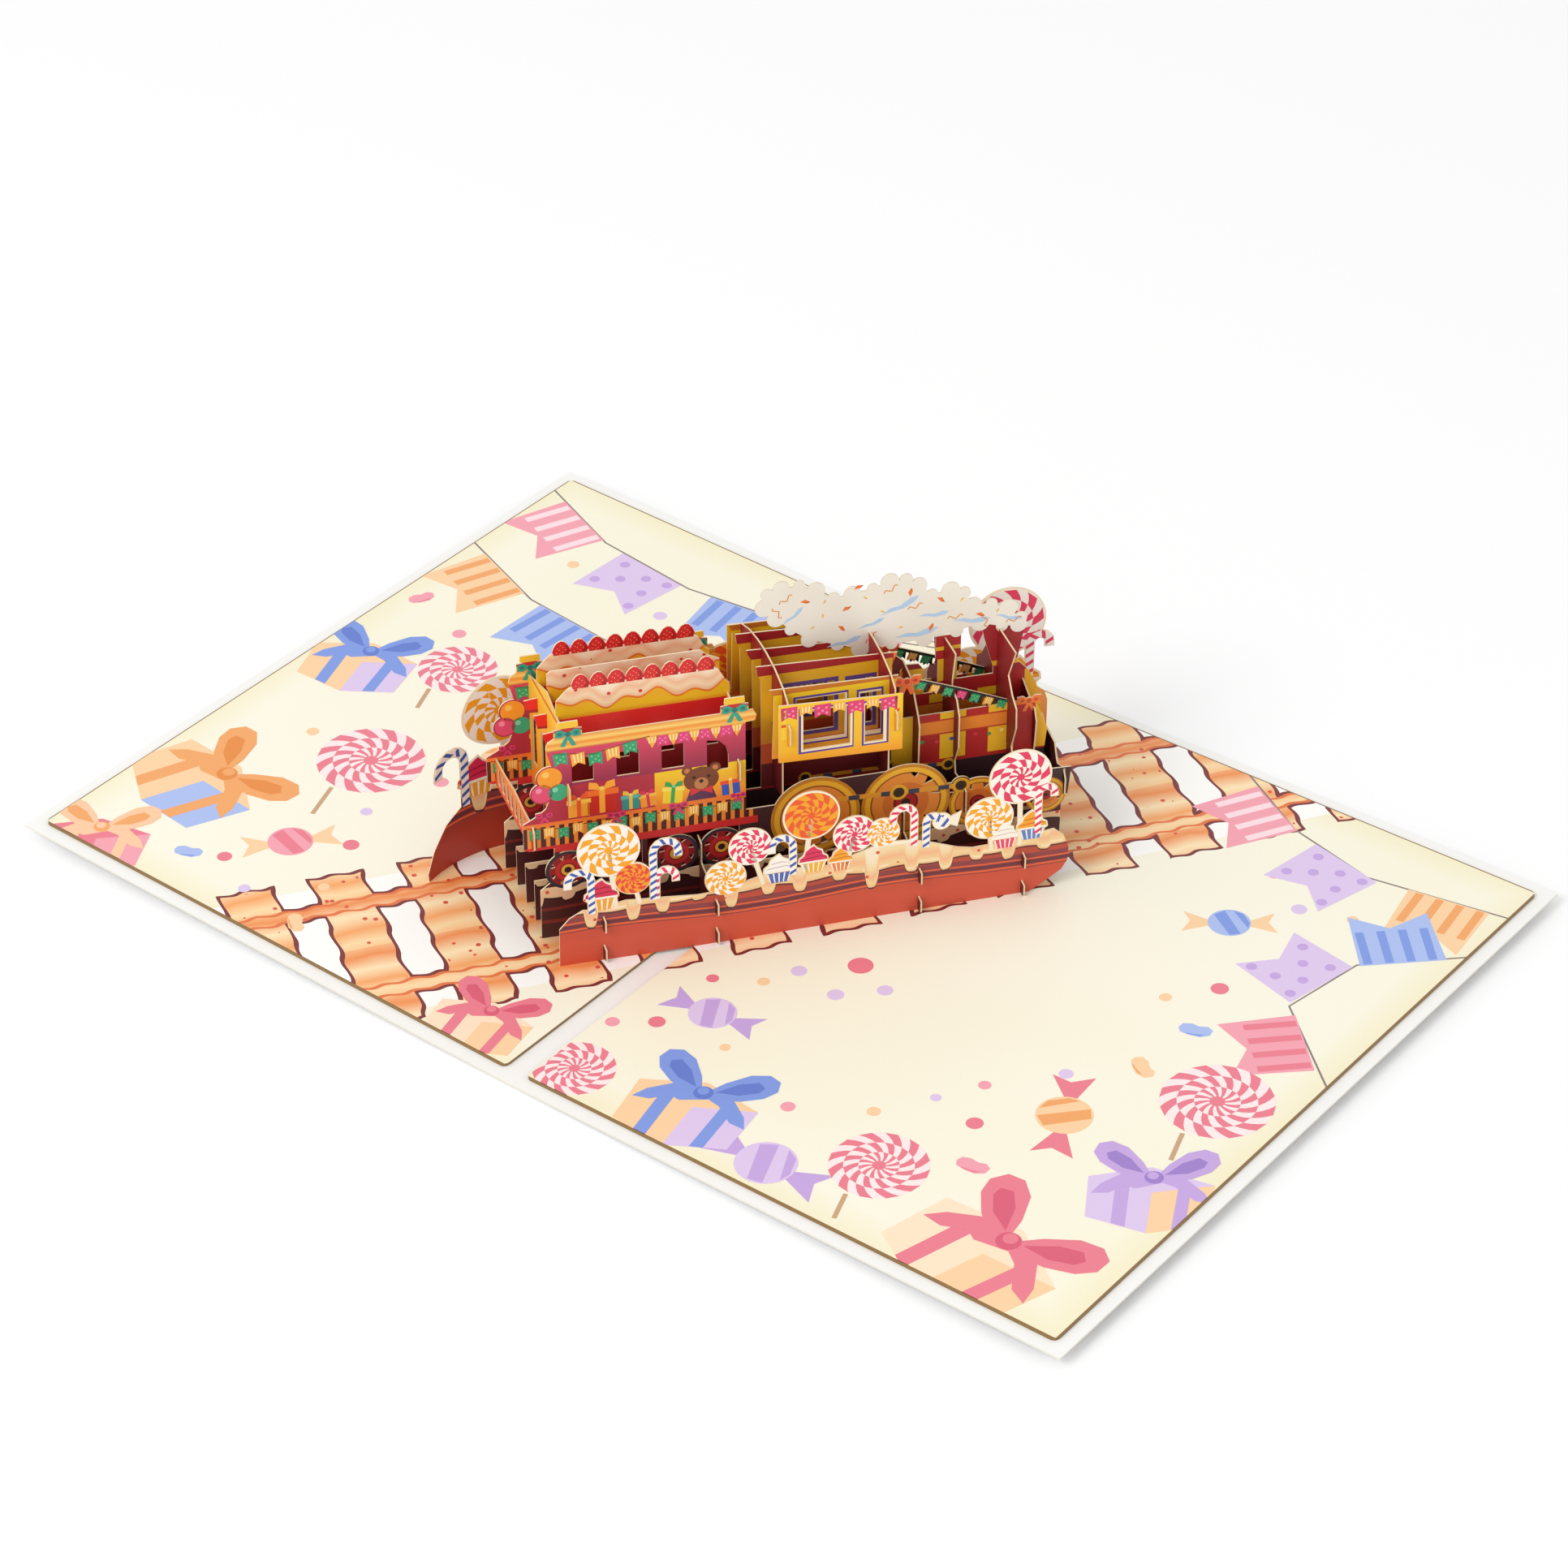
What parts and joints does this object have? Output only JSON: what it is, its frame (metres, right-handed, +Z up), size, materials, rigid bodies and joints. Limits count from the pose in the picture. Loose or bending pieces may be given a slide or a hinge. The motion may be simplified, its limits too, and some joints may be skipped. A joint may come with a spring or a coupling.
{
  "type": "pop up card",
  "caption": "Open folded greeting card with two printed pages and a sweet-shop steam train of slotted paper sheets standing across the fold.",
  "frame": {"origin": "centre of the card's underside, on the flat band at the fold", "axes": "+X across the two pages from left to right, +Y along the fold towards the far edge, +Z up out of the pages"},
  "size_m": [0.3, 0.2, 0.0812],
  "materials": {
    "cover_board": "smooth white card, matt",
    "printed_page": "cream card with printed borders, satin, browned cut edges",
    "platform_paper": "printed card in cake colours, satin, cream cut edges",
    "base_rib_paper": "printed dark red card, satin",
    "train_paper": "printed card in red, gold and orange, satin, cream cut edges",
    "train_rib_paper": "printed red and gold card, satin",
    "cloud_paper": "warm white printed card, satin"
  },
  "bodies": {
    "root": {"balcony_rail": "train_rib_paper", "base_rib_1": "base_rib_paper", "base_rib_2": "base_rib_paper", "base_rib_3": "base_rib_paper", "base_rib_4": "base_rib_paper", "boiler_rib_1": "train_rib_paper", "boiler_rib_2": "train_rib_paper", "boiler_rib_3": "train_rib_paper", "boiler_rib_4": "train_rib_paper", "cab_rib_1": "train_rib_paper", "cab_rib_2": "train_rib_paper", "cover": "cover_board", "front_cab_panel": "train_paper", "front_cab_wall": "train_paper", "front_inner_sheet": "train_paper", "front_side": "train_paper", "front_wall": "platform_paper", "left_page": "printed_page", "middle_sheet": "train_paper", "nose_rib": "train_rib_paper", "rear_cab_panel": "train_paper", "rear_cab_wall": "train_paper", "rear_inner_sheet": "train_paper", "rear_side": "train_paper", "rear_wall": "platform_paper", "right_page": "printed_page", "smoke_cloud": "cloud_paper", "wagon_rib_1": "train_rib_paper", "wagon_rib_2": "train_rib_paper"}
  },
  "joints": []
}
